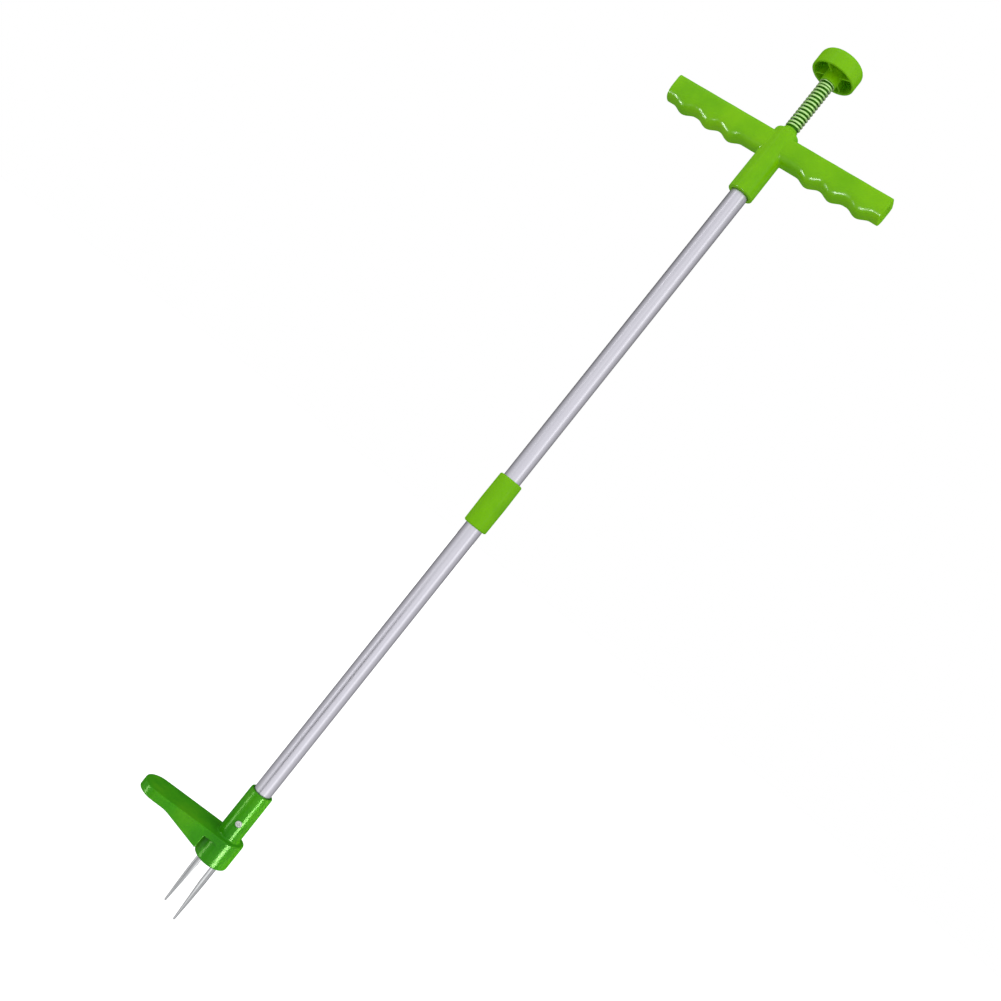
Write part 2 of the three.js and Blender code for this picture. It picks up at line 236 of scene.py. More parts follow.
def bake_modifiers(piece):
    shown = piece.evaluated_get(bpy.context.evaluated_depsgraph_get())
    mesh = bpy.data.meshes.new_from_object(shown)
    piece.modifiers.clear()
    piece.data = mesh
    return piece


def combine(piece, others, operation):
    """Applies one exact boolean after the other, and removes the tools."""
    for other in others:
        step = piece.modifiers.new("boolean", "BOOLEAN")
        step.operation = operation
        step.solver = "EXACT"
        step.object = other
        bake_modifiers(piece)
        bpy.data.objects.remove(other)
    return piece


def cut(piece, *tools):
    return combine(piece, tools, "DIFFERENCE")


def join(piece, *extras):
    return combine(piece, extras, "UNION")


def moulded(piece, voxel, rounds):
    """Remeshes a solid evenly and relaxes it, which gives moulded fillets to its edges."""
    remesh = piece.modifiers.new("remesh", "REMESH")
    remesh.mode = "VOXEL"
    remesh.voxel_size = voxel * MM * 1
    smooth = piece.modifiers.new("smooth", "SMOOTH")
    smooth.factor = 0.5
    smooth.iterations = rounds
    return bake_modifiers(piece)


def turned_about_z(piece, angle):
    piece.data.transform(Matrix.Rotation(angle, 4, "Z"))
    return piece


def paint(piece, material):
    piece.data.materials.clear()
    piece.data.materials.append(material)


def finish_piece(piece, material, body, *nodes, smooth=True):
    paint(piece, material)
    for face in piece.data.polygons:
        face.use_smooth = smooth
    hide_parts(*nodes)
    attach(piece, body)
    return piece


# ---- materials ----


def set_stops(ramp, stops):
    """Gives a colour ramp its (position, colour) stops."""
    while len(ramp.elements) < len(stops):
        ramp.elements.new(0.5)
    for element, (at, colour) in zip(ramp.elements, stops):
        element.position = at
        element.color = (*colour, 1)


class Nodes:
    """A thin wrapper that keeps node building short."""

    def __init__(self, name):
        self.material = bpy.data.materials.new(name)
        self.material.use_nodes = True
        self.tree = self.material.node_tree
        self.shader = self.tree.nodes["Principled BSDF"]

    def add(self, kind, **settings):
        node = self.tree.nodes.new(kind)
        for key, value in settings.items():
            setattr(node, key, value)
        return node

    def link(self, source, target):
        self.tree.links.new(source, target)

    def place(self, scale):
        """Object coordinates, stretched by scale."""
        where = self.add("ShaderNodeTexCoord")
        stretch = self.add("ShaderNodeMapping")
        stretch.inputs["Scale"].default_value = scale
        self.link(where.outputs["Object"], stretch.inputs["Vector"])
        return stretch.outputs["Vector"]

    def noise(self, scale, detail=4, roughness=0.55, stretch=(1, 1, 1)):
        node = self.add("ShaderNodeTexNoise")
        node.inputs["Scale"].default_value = scale
        node.inputs["Detail"].default_value = detail
        node.inputs["Roughness"].default_value = roughness
        self.link(self.place(stretch), node.inputs["Vector"])
        return node.outputs["Fac"]

    def ramp(self, value, stops):
        node = self.add("ShaderNodeValToRGB")
        set_stops(node.color_ramp, stops)
        self.link(value, node.inputs["Fac"])
        return node.outputs["Color"]

    def span(self, value, low, high, start=0.0, end=1.0):
        """Runs from low to high as the value runs from start to end, and stays between them."""
        node = self.add("ShaderNodeMapRange")
        node.inputs["From Min"].default_value = start
        node.inputs["From Max"].default_value = end
        node.inputs["To Min"].default_value = low
        node.inputs["To Max"].default_value = high
        self.link(value, node.inputs["Value"])
        return node.outputs["Result"]

    def mix(self, share, first, second):
        """The first colour, or the second where the share is 1."""
        node = self.add("ShaderNodeMix", data_type="RGBA")
        factor, colour_a, colour_b = (node.inputs[i] for i in (0, 6, 7))
        self.link(share, factor)
        for colour, socket in ((first, colour_a), (second, colour_b)):
            if isinstance(colour, tuple):
                socket.default_value = (*colour, 1)
            else:
                self.link(colour, socket)
        return node.outputs[2]

    def bump(self, height, strength, distance, under=None):
        node = self.add("ShaderNodeBump")
        node.inputs["Strength"].default_value = strength
        node.inputs["Distance"].default_value = distance
        self.link(height, node.inputs["Height"])
        if under is not None:
            self.link(under, node.inputs["Normal"])
        return node.outputs["Normal"]

    def set(self, **values):
        """Sets or links the shader's sockets, and returns the material."""
        for key, value in values.items():
            socket = self.shader.inputs[key.replace("_", " ")]
            if isinstance(value, (int, float, tuple)):
                socket.default_value = value
            else:
                self.link(value, socket)
        return self.material


EDGE_START, EDGE_FULL = 0.52, 0.6  # pointiness, which is 0.5 on a flat face
GRAZE_START, GRAZE_FULL = 0.34, 0.56  # facing, which is 0 seen straight on
GRAZE_ROUGHNESS = 0.95


def edges(n):
    """How far a point stands out along a moulded edge, from 0 to 1."""
    geometry = n.add("ShaderNodeNewGeometry")
    return n.span(geometry.outputs["Pointiness"], 0.0, 1.0, EDGE_START, EDGE_FULL)


def duller_when_grazed(n, gloss):
    """Spreads the sheen at grazing angles, where the strips would burn out the outline."""
    weight = n.add("ShaderNodeLayerWeight")
    weight.inputs["Blend"].default_value = 0.5
    skim = n.span(weight.outputs["Facing"], 0.0, GRAZE_ROUGHNESS, GRAZE_START, GRAZE_FULL)
    widest = n.add("ShaderNodeMath", operation="MAXIMUM")
    n.link(gloss, widest.inputs[0])
    n.link(skim, widest.inputs[1])
    return widest.outputs[0]


def plastic(name, deep, base, pale, rough, grain=2600, shine=0.5):
    """Injection-moulded plastic: flow mottling, a fine grain, paler edges and faint scuffs."""
    n = Nodes(name)
    flow = n.noise(22, 3, 0.6, (1, 1, 0.7))
    cloud = n.noise(90, 5, 0.6)
    body = n.ramp(flow, [(0.3, deep), (0.5, base), (0.72, pale)])
    body = n.mix(n.span(cloud, 0.0, 0.3, 0.4, 0.75), body, deep)
    body = n.mix(n.span(edges(n), 0.0, 0.3), body, pale)
    fine = n.noise(grain, 3, 0.5)
    scuff = n.noise(240, 5, 0.65, (1, 1, 0.3))
    gloss = n.span(scuff, rough - 0.03, rough + 0.05, 0.35, 0.75)
    gloss = duller_when_grazed(n, gloss)
    relief = n.bump(fine, 0.03, 0.00008)
    relief = n.bump(cloud, 0.03, 0.0003, relief)
    return n.set(Base_Color=body, Roughness=gloss, Normal=relief, IOR=1.46,
                 Specular_IOR_Level=shine)


def drawn_aluminium(name):
    """Anodised tube: faint drawing lines, soft mottling and a slight lavender cast."""
    n = Nodes(name)
    lines = n.noise(1, 3, 0.5, (700, 700, 5))
    cloud = n.noise(35, 4, 0.55, (1, 1, 0.3))
    colour = n.ramp(lines, [(0.3, (0.60, 0.59, 0.635)), (0.5, (0.64, 0.63, 0.675)),
                            (0.72, (0.68, 0.67, 0.715))])
    colour = n.mix(n.span(cloud, 0.0, 0.3, 0.4, 0.7), colour, (0.60, 0.59, 0.65))
    gloss = n.span(lines, 0.30, 0.34, 0.3, 0.7)
    relief = n.bump(cloud, 0.03, 0.0001)
    return n.set(Base_Color=colour, Metallic=1.0, Roughness=gloss, Normal=relief)


EVEN_GRAIN = (900, 900, 900)


def steel(name, dark, light, rough, stretch=EVEN_GRAIN, relief=0.08):
    """Ground or plated steel with fine lines along the given stretch and small stains."""
    n = Nodes(name)
    lines = n.noise(1, 4, 0.6, stretch)
    stain = n.noise(160, 5, 0.65)
    colour = n.ramp(lines, [(0.3, dark), (0.7, light)])
    colour = n.mix(n.span(stain, 0.0, 0.4, 0.5, 0.75), colour, dark)
    gloss = n.span(stain, rough - 0.04, rough + 0.08, 0.35, 0.75)
    bump = n.bump(lines, relief, 0.00004)
    return n.set(Base_Color=colour, Metallic=1.0, Roughness=gloss, Normal=bump)


def make_materials():
    return {
        "lime": plastic("lime_plastic", (0.175, 0.54, 0.001), (0.225, 0.62, 0.001),
                        (0.28, 0.67, 0.002), rough=0.22, shine=0.16),
        "guide": plastic("guide_green", (0.06, 0.28, 0.006), (0.08, 0.34, 0.008),
                         (0.11, 0.40, 0.012), rough=0.4, shine=0.2),
        "head": plastic("head_green", (0.027, 0.27, 0.001), (0.05, 0.365, 0.001),
                        (0.10, 0.43, 0.002), rough=0.28, grain=2200, shine=0.2),
        "aluminium": drawn_aluminium("aluminium"),
        "tine": steel("tine_steel", (0.40, 0.41, 0.41), (0.62, 0.63, 0.62), rough=0.12,
                      stretch=(900, 900, 12)),
        "steel": steel("steel", (0.42, 0.42, 0.41), (0.66, 0.66, 0.65), rough=0.24),
        "screw": steel("screw_steel", (0.58, 0.60, 0.56), (0.80, 0.82, 0.78), rough=0.38),
        "rod": steel("rod_steel", (0.16, 0.22, 0.12), (0.28, 0.35, 0.22), rough=0.25,
                     stretch=(900, 900, 20)),
        "spring": steel("spring_steel", (0.46, 0.74, 0.24), (0.64, 0.92, 0.42), rough=0.34,
                        stretch=(300, 300, 300), relief=0.03),
        "brass": steel("brass", (0.50, 0.33, 0.12), (0.78, 0.56, 0.25), rough=0.25),
        "nylon": plastic("nylon", (0.010, 0.010, 0.011), (0.018, 0.018, 0.02),
                         (0.035, 0.035, 0.038), rough=0.5),
    }


# ---- handle ----

GRIP_HALF = 116.5
GRIP_TOP = 896.5
GRIP_UNDER = 872.5
GRIP_AXIS = (GRIP_TOP + GRIP_UNDER) / 2
GRIP_DEPTH = 10.3
GRIP_EASE = 0.5  # how much the bar's ends are rounded off
GRIP_BORE_R = 6.6
GRIP_BORE_START = 30
CRISP, OVAL = 6, 2.5  # exponents of the section's two halves: higher is squarer
BUMPS = (43, 68.3, 96.5)  # the finger bumps' distances from the shaft
BUMP_DROP = 4
BUMP_REACH = 12.6
HUB_R = 12.95
HUB_NECK_R = 12.4
BUSH_R = 7.1
GUIDE_BORE = 5.1
TUBE_STOP = 868.5
PLUG_R = 6.3
PLUG_LENGTH = 7.6
PLUG_SEAT = 8  # from the bar's end to the plug's inner end


def scallop(distance):
    """How far the underside hangs below its grooves at a distance from the shaft."""
    drop = 0
    for at in BUMPS:
        away = abs(abs(distance) - at) / BUMP_REACH
        if away < 1:
            drop = max(drop, BUMP_DROP * 0.5 * (1 + math.cos(math.pi * away)))
    return drop


def grip_ring(along, shrink=0.0, points=72):
    """The grip's section: flat and crisp above, an oval keel below that follows the bumps."""
    bottom = GRIP_UNDER - scallop(along)
    middle, half = (GRIP_TOP + bottom) / 2, (GRIP_TOP - bottom) / 2 - shrink
    depth = GRIP_DEPTH - shrink
    ring = []
    for u, v in circle(1, points):
        power = CRISP if v > 0 else OVAL
        stretch = (abs(u) ** power + abs(v) ** power) ** (-1 / power)
        ring.append((along, depth * u * stretch, middle + half * v * stretch))
    return ring


def handle_shell():
    last = GRIP_HALF - GRIP_EASE
    steps = 2 * int(last)
    inner = [last * (2 * k / steps - 1) for k in range(steps + 1)]
    rings = [grip_ring(-GRIP_HALF, GRIP_EASE)] + [grip_ring(s) for s in inner]
    rings.append(grip_ring(GRIP_HALF, GRIP_EASE))
    bar = loft("handle", rings)
    low, high = HANDLE_LOW.z, HANDLE_HIGH.z
    hub = lathe("hub", rounded([
        (0, low, 0), (HUB_R, low, 1.2), (HUB_NECK_R, high, 3.2), (0, high, 0)]))
    shell = join(bar, hub)
    tube_bore = bore(TUBE_BORE, low - 2, TUBE_STOP)
    rod_bore = bore(BUSH_R + 0.3, TUBE_STOP - 1, high + 2)
    cut(shell, tube_bore, rod_bore, *[grip_bore(side) for side in (-1, 1)])
    moulded(shell, 0.5, 4)
    return turned_about_z(shell, HANDLE_YAW)


def grip_bore(side):
    rings = [[(side * along, y, GRIP_AXIS + z) for y, z in circle(GRIP_BORE_R, 48)]
             for along in (GRIP_BORE_START, GRIP_HALF + 2)]
    return loft("bore", rings)


def end_plug(name, side):
    """A pressed-in cap with a shallow dished face."""
    dish, floor = PLUG_R - 1.4, PLUG_LENGTH - 0.6
    outline = rounded([
        (0, 0, 0), (PLUG_R, 0, 0.4), (PLUG_R, PLUG_LENGTH, 0.8), (dish, PLUG_LENGTH, 0.5),
        (dish - 0.4, floor, 0.5), (0, floor, 0)])
    plug = lathe(name, outline, 64)
    plug.data.transform(Matrix.Rotation(math.pi / 2, 4, "Y") @ Matrix.Translation(
        (0, 0, (GRIP_HALF - PLUG_SEAT) * MM)))
    plug.data.transform(Matrix.Translation((0, 0, GRIP_AXIS * MM)))
    return turned_about_z(plug, HANDLE_YAW + (math.pi if side < 0 else 0))


# ---- screws ----

SCREW_HEAD_R = 3.25
SCREW_HEAD = 2.1  # its height
SCREW_SHANK_R = 1.5
SCREW_SHANK = 5.8  # its length
SLOT_HALF = 0.5


def cross_screw(name, reach, height, azimuth):
    """A pan-headed screw with a cross recess, seated at reach from the shaft's axis."""
    point, top = reach - SCREW_SHANK, reach + SCREW_HEAD
    body = lathe(name, rounded([
        (0, point, 0), (SCREW_SHANK_R, point, 0.3), (SCREW_SHANK_R, reach, 0.1),
        (SCREW_HEAD_R, reach, 0.2), (SCREW_HEAD_R, reach + SCREW_HEAD * 0.55, 0.7),
        (SCREW_HEAD_R * 0.62, top, 1.2), (0, top, 0)]), 64)
    arm, floor = SCREW_HEAD_R * 0.6, top - SCREW_HEAD * 0.7
    cut(body,
        block("slot", (-arm, -SLOT_HALF, floor), (arm, SLOT_HALF, top + 1)),
        block("slot", (-SLOT_HALF, -arm, floor), (SLOT_HALF, arm, top + 1)))
    body.data.transform(Matrix.Rotation(math.pi / 2, 4, "Y"))
    body.data.transform(Matrix.Translation((0, 0, height * MM)))
    return turned_about_z(body, azimuth)


# ---- plunger ----

KNOB_R = node_radius("push_knob")
KNOB_RIM = 966.7
KNOB_ROOF = 3
KNOB_WEBS = 4
WEB_HALF = 1
BOSS_R = 8
ROD_R = 2.5
ROD_BORE = 2.8
THREAD_R = 2  # the lower rod's end, below its shoulder
THREAD_BORE = 2.3
SLEEVE_R = 4.8
WASHER_R = 7.8
INSERT_R = 4.5
CLIP_R = 6.2
DISC_R = 13.6
DISC_SLOT_START, DISC_SLOT_END, DISC_SLOT_HALF = 10.5, 17, 4.1
WIRE_R = 1.1
COIL_TURNS = 14
CLOSED_TURNS = 1.0  # at each end


def knob_shell():
    low, top = KNOB_LOW.z, KNOB_HIGH.z
    cup = lathe("knob", rounded([
        (0, top, 0), (KNOB_R, top, 5.5), (KNOB_R, KNOB_RIM, 0.9), (KNOB_R - 2.4, KNOB_RIM, 0.9),
        (KNOB_R - 2.8, top - KNOB_ROOF, 3.5), (0, top - KNOB_ROOF, 0)]), 128)
    boss = lathe("boss", rounded([
        (0, top - 1, 0), (11.2, top - 1, 0), (BOSS_R, KNOB_RIM + 3, 4), (BOSS_R, low, 0.7),
        (0, low, 0)]))
    webs = []
    for i in range(KNOB_WEBS):
        web = block("web", (BOSS_R - 2, -WEB_HALF, KNOB_RIM + 1.6),
                    (KNOB_R - 1.2, WEB_HALF, top - 2))
        webs.append(turned_about_z(web, (i + 0.5) / KNOB_WEBS * 2 * math.pi))
    shell = join(cup, boss, *webs)
    cut(shell, bore(SLEEVE_R, low - 1, top - 8, 48))
    return moulded(shell, 0.42, 4)


def coil_spring(sides=16, per_turn=64):
    """A round wire on a helix, with a closed and tapered turn at each end."""
    low, high = SPRING_LOW.z + WIRE_R, SPRING_HIGH.z - WIRE_R
    radius = node_radius("return_spring") - WIRE_R
    open_turns = COIL_TURNS - 2 * CLOSED_TURNS
    end_pitch = 2 * WIRE_R + 0.1
    open_pitch = (high - low - 2 * CLOSED_TURNS * end_pitch) / open_turns
    steps = COIL_TURNS * per_turn
    up = Vector((0, 0, 1))
    rings = []
    for k in range(steps + 1):
        turn = COIL_TURNS * k / steps
        opened = min(max(turn - CLOSED_TURNS, 0), open_turns)
        z = low + (turn - opened) * end_pitch + opened * open_pitch
        angle = 2 * math.pi * turn
        out = Vector((math.cos(angle), math.sin(angle), 0))
        centre = out * radius + Vector((0, 0, z))
        thin = WIRE_R * min(1, 0.35 + min(k, steps - k) / 4)
        rings.append([centre + (out * u + up * v) * thin for u, v in circle(1, sides)])
    return loft("spring_coil", rings)


def upper_rod():
    low, high = node_box("push_rod_upper")
    outline = rounded([(0, low.z, 0), (ROD_R, low.z, 0.5), (ROD_R, high.z, 0.5),
                       (0, high.z, 0)], 4)
    return lathe("rod_upper", outline, 48)


def lower_rod():
    """A rod that steps down to its thread just above the ejector plate."""
    low, high = node_box("push_rod_lower")
    shoulder = node_box("ejector_plate")[1].z + 0.3
    outline = rounded([(0, low.z, 0), (THREAD_R, low.z, 0.4), (THREAD_R, shoulder, 0.1),
                       (ROD_R, shoulder, 0.2), (ROD_R, high.z, 0.4), (0, high.z, 0)], 4)
    return lathe("rod_lower", outline, 48)


def ejector_disc():
    """A round plate with a slot for each tine."""
    low, high = node_box("ejector_plate")
    disc = ring_piece("ejector_disc", "ejector_plate", DISC_R, THREAD_BORE, 0.5, 96)
    slots = []
    for turn in (0, math.pi):
        slot = block("slot", (DISC_SLOT_START, -DISC_SLOT_HALF, low.z - 1),
                     (DISC_SLOT_END, DISC_SLOT_HALF, high.z + 1))
        slots.append(turned_about_z(slot, TINE_AZIMUTH + turn))
    return moulded(cut(disc, *slots), 0.3, 2)


def hex_nut(name, node, flats, hole):
    """A nut of that width across its flats, with its corners turned off above and below."""
    low, high = (corner.z for corner in node_box(node))
    corner = flats / math.sqrt(3)
    nut = prism(name, circle(corner, 6), low, high)
    chamfer = lathe("chamfer", rounded([
        (0, low - 1, 0), (flats / 2 - 0.1, low - 0.2, 0), (corner + 0.5, low + 1.2, 0),
        (corner + 0.5, high - 1.2, 0), (flats / 2 - 0.1, high + 0.2, 0),
        (0, high + 1, 0)]), 72)
    combine(nut, [chamfer], "INTERSECT")
    return cut(nut, bore(hole, low - 2, high + 2, 48))


# ---- shaft ----


def tube(name, node):
    return ring_piece(name, node, TUBE_R, TUBE_R - TUBE_WALL, 0.25, 96)


def coupler():
    """A sleeve with rounded mouths, a little fuller halfway up."""
    low, high = COUPLER_LOW.z, COUPLER_HIGH.z
    middle, outer = (low + high) / 2, node_radius("middle_coupler")
    end = outer - 0.3
    outline = rounded([
        (TUBE_BORE, middle, 0), (TUBE_BORE, low, 0.5), (end, low, 1.9), (outer, middle, 90),
        (end, high, 1.9), (TUBE_BORE, high, 0.5), (TUBE_BORE, middle, 0)], 10)
    return lathe("coupler", outline[:-1])


# ---- foot ----

COLLAR_R = 17.5
COLLAR_TOP = 86.4
COLLAR_BORE = 14.4
CEILING = 79
SOCKET_R = 11.6
SOCKET_FLOOR = 91
PEDAL_HALF = 17.5
PEDAL_LIP = 77.3
PEDAL_HEEL = 66
PEDAL_WALL = 2.6
PEDAL_ROOF = 3.5
RIB_HALF = 1.2
NOTCH_LEFT, NOTCH_TOP = -18.2, 79.6


def pedal_side():
    """The pedal seen from the side, as (x, z): level at the tip and deep at the collar."""
    tip = FOOT_LOW.x - 1
    return rounded([
        (0, COLLAR_TOP, 0), (tip, COLLAR_TOP, 0), (tip, PEDAL_LIP, 0), (-60, PEDAL_LIP, 40),
        (NOTCH_LEFT, PEDAL_HEEL, 0.6), (NOTCH_LEFT, NOTCH_TOP, 0.4), (0, NOTCH_TOP, 0)], 14)


def pedal_plan(inset, steps=40):
    """The pedal seen from above, as (x, y), with its round tip."""
    half = PEDAL_HALF - inset
    centre = FOOT_LOW.x + PEDAL_HALF
    plan = [(0, -half), (0, half)]
    for i in range(steps + 1):
        angle = math.pi / 2 + math.pi * i / steps
        plan.append((centre + half * math.cos(angle), half * math.sin(angle)))
    return plan


def foot_shell():
    low, high = FOOT_LOW.z, FOOT_HIGH.z
    pedal = prism("foot", pedal_side(), -PEDAL_HALF - 1, PEDAL_HALF + 1, "Y")
    plan = prism("plan", pedal_plan(0), PEDAL_HEEL - 6, COLLAR_TOP)
    combine(pedal, [plan], "INTERSECT")
    below = PEDAL_HEEL - 11
    pocket = prism("pocket", pedal_plan(PEDAL_WALL), below, COLLAR_TOP - PEDAL_ROOF)
    cut(pocket, block("rib", (FOOT_LOW.x, -RIB_HALF, below - 5), (0, RIB_HALF, 90)))
    cut(pedal, pocket)
    body = lathe("body", rounded([
        (0, low, 0), (COLLAR_R, low, 1.7), (COLLAR_R, COLLAR_TOP, 0.9),
        (SOCKET_R + 0.2, COLLAR_TOP, 1.2), (SOCKET_R, high, 0.8), (0, high, 0)]))
    join(pedal, body)
    collar_bore = lathe("bore", rounded([
        (0, low - 2, 0), (COLLAR_BORE, low - 2, 0), (COLLAR_BORE, CEILING, 1), (0, CEILING, 0)]))
    tube_bore = bore(TUBE_BORE, SOCKET_FLOOR, high + 2)
    bush_bore = bore(SLEEVE_R, CEILING - 1, SOCKET_FLOOR + 1, 48)
    cut(pedal, collar_bore, tube_bore, bush_bore)
    return moulded(pedal, 0.5, 9)


# ---- tines ----

TINE_ORBIT = 12.6  # from the shaft's axis
TINE_ROOT_WIDTH, TINE_TIP_WIDTH = 6.6, 1.7
TINE_ROOT_DEPTH, TINE_TIP_DEPTH = 2.0, 1.3
TINE_TAPER = 43  # the height where the taper starts
TINE_BOW = 6.5  # the radius of the bowed section
TINE_TOP = CEILING - 0.3
TAB_UNDER = CEILING - 2.3
TAB_START = 5.4
TAB_HALF = 3.3
TAB_HOLE_AT = 8.4
TAB_HOLE_R = 1.8


def tine_blade(name):
    """One stamped tine: a bowed section that runs parallel, then tapers to a blunt point."""
    heights = [z * 0.5 for z in range(90)] + [47, 50, 55, 60, 68, 74, TINE_TOP]
    rings = []
    for z in heights:
        share = min(z / TINE_TAPER, 1)
        width = TINE_TIP_WIDTH + (TINE_ROOT_WIDTH - TINE_TIP_WIDTH) * share
        depth = TINE_TIP_DEPTH + (TINE_ROOT_DEPTH - TINE_TIP_DEPTH) * min(2 * share, 1)
        if z < 0.5:
            width, depth = width * 0.6, depth * 0.6
        rings.append(gouge_ring(z, width, depth))
    return loft(name, rings)


def gouge_ring(z, width, depth, steps=10):
    """A tine's section: a strip bowed about the shaft, with its corners eased."""
    outer, inner = [], []
    corner = min(0.35, depth / 3)
    for i in range(-steps, steps + 1):
        v = i / steps * width / 2
        sag = v * v / (2 * TINE_BOW)
        edge = max(0, abs(v) - (width / 2 - corner)) / corner
        ease = corner * (1 - math.sqrt(max(0, 1 - edge * edge)))
        outer.append((TINE_ORBIT + depth / 2 - sag - ease, v, z))
        inner.append((TINE_ORBIT - depth / 2 - sag + ease, v, z))
    return outer + inner[::-1]


def tine(name, turn):
    """A blade with the bent tab that its screw goes through."""
    blade = tine_blade(name)
    join(blade, block("tab", (TAB_START, -TAB_HALF, TAB_UNDER), (TINE_ORBIT, TAB_HALF, TINE_TOP)))
    hole = bore(TAB_HOLE_R, CEILING - 5, CEILING + 1, 32)
    hole.data.transform(Matrix.Translation((TAB_HOLE_AT * MM, 0, 0)))
    cut(blade, hole)
    return turned_about_z(blade, TINE_AZIMUTH + turn)


# ---- stage and light ----

WHITE = (1.0, 1.0, 1.0, 1)
ROOM_TINT = (0.97, 0.97, 1.0, 1)
FLOOR_GLOW = 0.82  # what the camera sees of the floor, over its own shading
FLOOR_R = 9.0
SHAFT_MIDDLE = 0.45

# The room is brightest in front and a little below. This points the other way, and ROOM says
# how bright the room is from the front (0) to the back (1).
ROOM_BACK = (0, 0.958, 0.287)
ROOM = [(0, 1.14), (0.45, 0.72), (0.78, 0.42), (0.93, 0.12), (1, 0.05)]

STREAKS = (("streak", 37, 0.6, 230), ("streak_left", -66, 0.4, 31))  # azimuth, width, power
GLINT_AZIMUTHS = (-15, -74)

CARD_AZIMUTH = math.radians(-29)
CARD_DISTANCE = 0.55
CARD_HALF = 0.075
CARD_LOW, CARD_HIGH = -0.16, 0.30


def make_floor():
    mesh = bpy.data.meshes.new("floor")
    work = bmesh.new()
    bmesh.ops.create_circle(work, cap_ends=True, radius=FLOOR_R, segments=96)
    work.to_mesh(mesh)
    work.free()
    floor = bpy.data.objects.new("floor", mesh)
    bpy.context.collection.objects.link(floor)
    n = Nodes("floor")
    cloud = n.noise(1.5, 3)
    colour = n.ramp(cloud, [(0.3, (0.78, 0.78, 0.78)), (0.7, (0.82, 0.82, 0.82))])
    path = n.add("ShaderNodeLightPath")
    glow = n.span(path.outputs["Is Camera Ray"], 0.0, FLOOR_GLOW)
    n.set(Base_Color=colour, Roughness=0.9, Specular_IOR_Level=0.1,
          Emission_Color=WHITE, Emission_Strength=glow)
    open_to_gloss(n, path)
    mesh.materials.append(n.material)


def open_to_gloss(n, path):
    """Lets mirror-like rays through the floor, so reflections see an endless pale room."""
    clear = n.add("ShaderNodeBsdfTransparent")
    blend = n.add("ShaderNodeMixShader")
    n.link(path.outputs["Is Glossy Ray"], blend.inputs["Fac"])
    n.link(n.shader.outputs["BSDF"], blend.inputs[1])
    n.link(clear.outputs["BSDF"], blend.inputs[2])
    n.link(blend.outputs["Shader"], n.tree.nodes["Material Output"].inputs["Surface"])


def make_world():
    """White to the eye; to the object, a dim room that fades from the front to the back."""
    world = bpy.data.worlds.new("studio")
    bpy.context.scene.world = world
    world.use_nodes = True
    nodes, link = world.node_tree.nodes, world.node_tree.links.new
    where = nodes.new("ShaderNodeTexCoord")
    facing = nodes.new("ShaderNodeVectorMath")
    facing.operation = "DOT_PRODUCT"
    facing.inputs[1].default_value = ROOM_BACK
    link(where.outputs["Generated"], facing.inputs[0])
    along = nodes.new("ShaderNodeMapRange")
    along.inputs["From Min"].default_value = -1
    link(facing.outputs["Value"], along.inputs["Value"])
    fall = nodes.new("ShaderNodeValToRGB")
    set_stops(fall.color_ramp, [(at, (level,) * 3) for at, level in ROOM])
    link(along.outputs["Result"], fall.inputs["Fac"])
    back = nodes["Background"]
    back.inputs["Color"].default_value = ROOM_TINT
    link(fall.outputs["Color"], back.inputs["Strength"])
    seen = nodes.new("ShaderNodeBackground")
    seen.inputs["Color"].default_value = WHITE
    seen.inputs["Strength"].default_value = 1.0
    path = nodes.new("ShaderNodeLightPath")
    mix = nodes.new("ShaderNodeMixShader")
    link(path.outputs["Is Camera Ray"], mix.inputs["Fac"])
    link(back.outputs["Background"], mix.inputs[1])
    link(seen.outputs["Background"], mix.inputs[2])
    link(mix.outputs["Shader"], nodes["World Output"].inputs["Surface"])


def around_shaft(azimuth, distance, height):
    """A place round the shaft, at an azimuth in radians counted from the front (-Y) towards +X.
    """
    return Vector((math.sin(azimuth) * distance, -math.cos(azimuth) * distance, height))


def area_light(name, azimuth, height, distance, size, power, aim=SHAFT_MIDDLE, tall=None):
    """A soft box at an azimuth in degrees, pointing at the shaft at the height aim."""
    data = bpy.data.lights.new(name, "AREA")
    data.shape = "RECTANGLE"
    data.size = size
    data.size_y = tall or size
    data.energy = power
    lamp = bpy.data.objects.new(name, data)
    bpy.context.collection.objects.link(lamp)
    place = around_shaft(math.radians(azimuth), distance, height)
    lamp.location = place
    lamp.rotation_euler = (Vector((0, 0, aim)) - place).to_track_quat("-Z", "Y").to_euler()
    lamp.visible_camera = False
    return lamp


def shine_on(lamp, piece, sheen_only=True):
    """Keeps a highlight lamp to the piece it is there for."""
    lit = bpy.data.collections.new(lamp.name + "_pieces")
    lit.objects.link(piece)
    lamp.light_linking.receiver_collection = lit
    lamp.visible_diffuse = not sheen_only


def light_scene():
    bpy.context.scene.view_settings.view_transform = "Standard"
    make_world()
    make_floor()
    area_light("key", 42, height=0.4, distance=1.6, size=0.5, power=4.2, tall=4.0)
    area_light("fill", -62, height=1.6, distance=1.6, size=0.3, power=1.6, tall=2.0)
    area_light("top", -10, height=2.4, distance=1.4, size=1.0, power=2.5)


